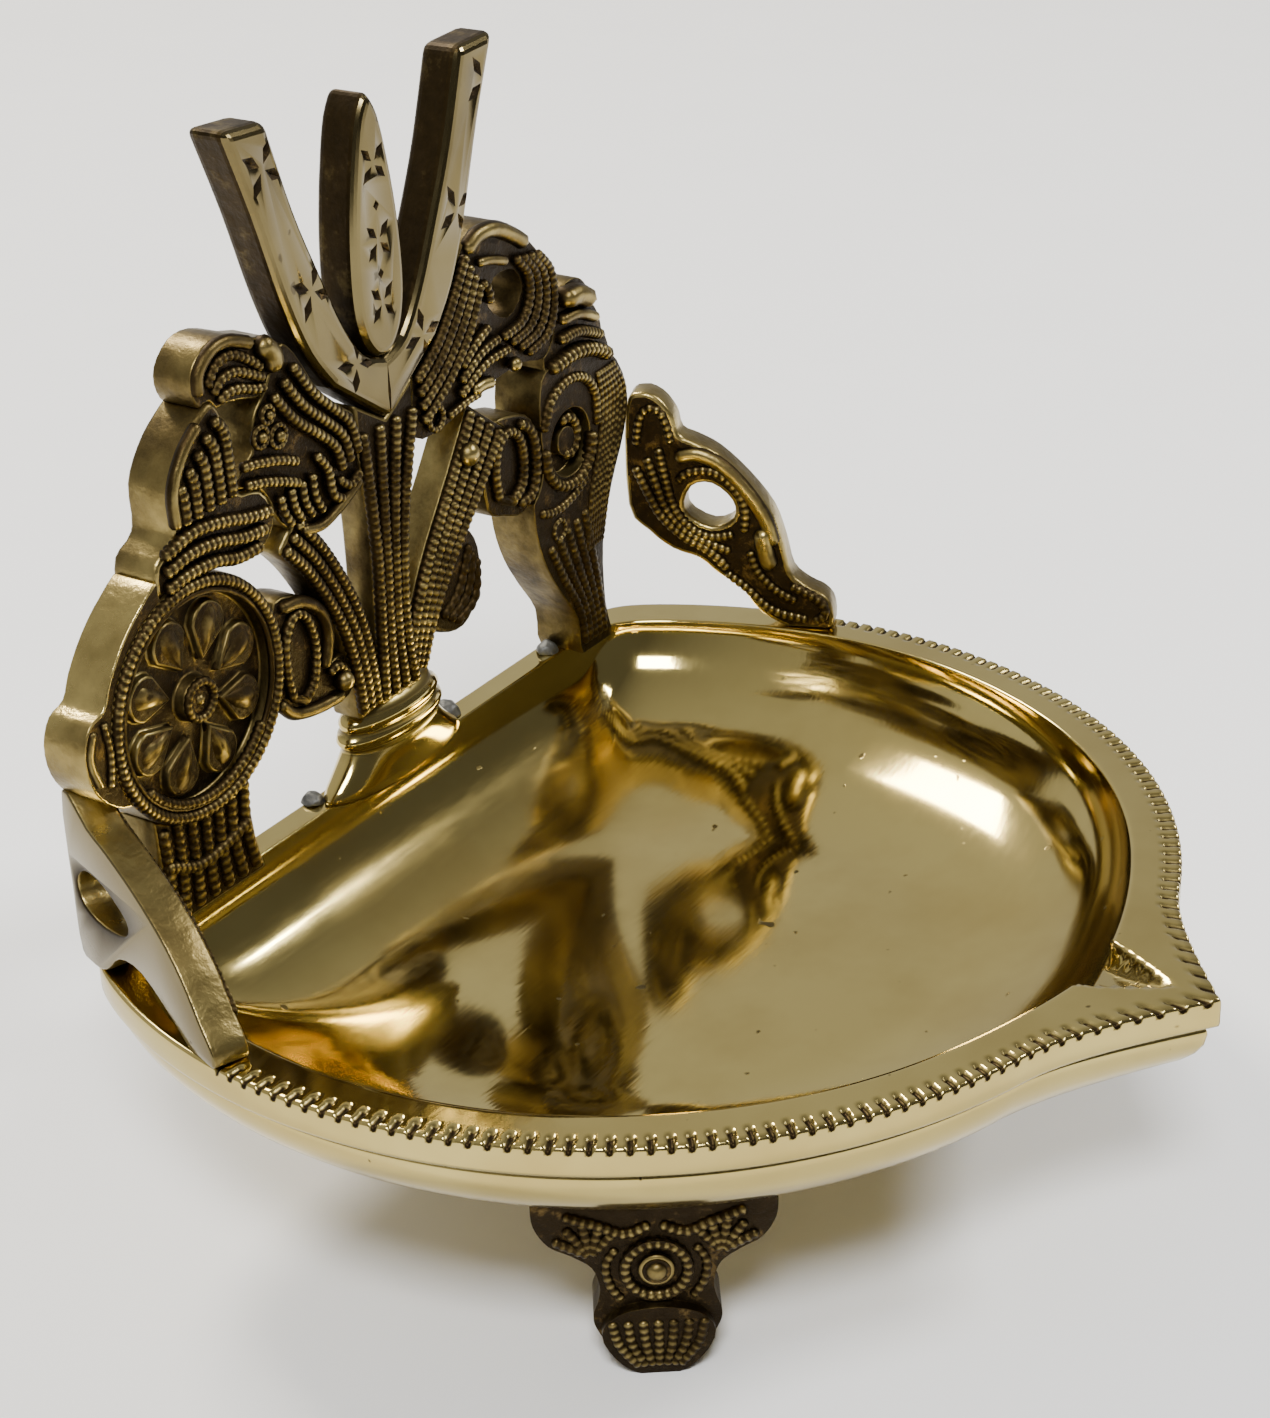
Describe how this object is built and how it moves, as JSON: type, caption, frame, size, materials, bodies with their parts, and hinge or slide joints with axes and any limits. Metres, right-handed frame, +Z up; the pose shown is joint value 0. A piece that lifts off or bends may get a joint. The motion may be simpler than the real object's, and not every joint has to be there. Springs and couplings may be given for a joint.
{
  "type": "oil lamp",
  "caption": "Small brass diya oil lamp: an open bowl with a wick lip on scrolled feet, with a pierced back plate carrying a forehead mark between a discus and a conch.",
  "frame": {"origin": "on the table, under the middle of the lamp's bounding box", "axes": "+Z up; the wick lip points along -Y and the back plate stands at +Y; the discus is at -X and the conch at +X"},
  "size_m": [0.12, 0.1054, 0.1125],
  "materials": {
    "polished_brass": "polished, with fine scratches, small casting pits and dark tarnish in the corners",
    "antique_brass": "cast relief with dark brown patina in the recesses and bright worn crests",
    "solder": "dull grey soft solder, rough"
  },
  "bodies": {
    "root": {"bowl": "polished_brass", "foot_front_left": "antique_brass", "foot_front_right": "antique_brass", "foot_rear": "antique_brass", "pedestal": "polished_brass", "stalk": "antique_brass", "left_branch": "antique_brass", "right_branch": "antique_brass", "bud": "antique_brass", "forehead_mark": "polished_brass", "mark_flame": "polished_brass", "discus": "antique_brass", "discus_base": "antique_brass", "discus_scroll": "antique_brass", "left_edge_band": "polished_brass", "left_shoulder": "antique_brass", "left_top_curl": "antique_brass", "left_scrolls": "antique_brass", "left_wing": "polished_brass", "right_upper_scrolls": "antique_brass", "right_clasp": "antique_brass", "conch": "antique_brass", "right_wing": "antique_brass", "solder": "solder"}
  },
  "joints": []
}
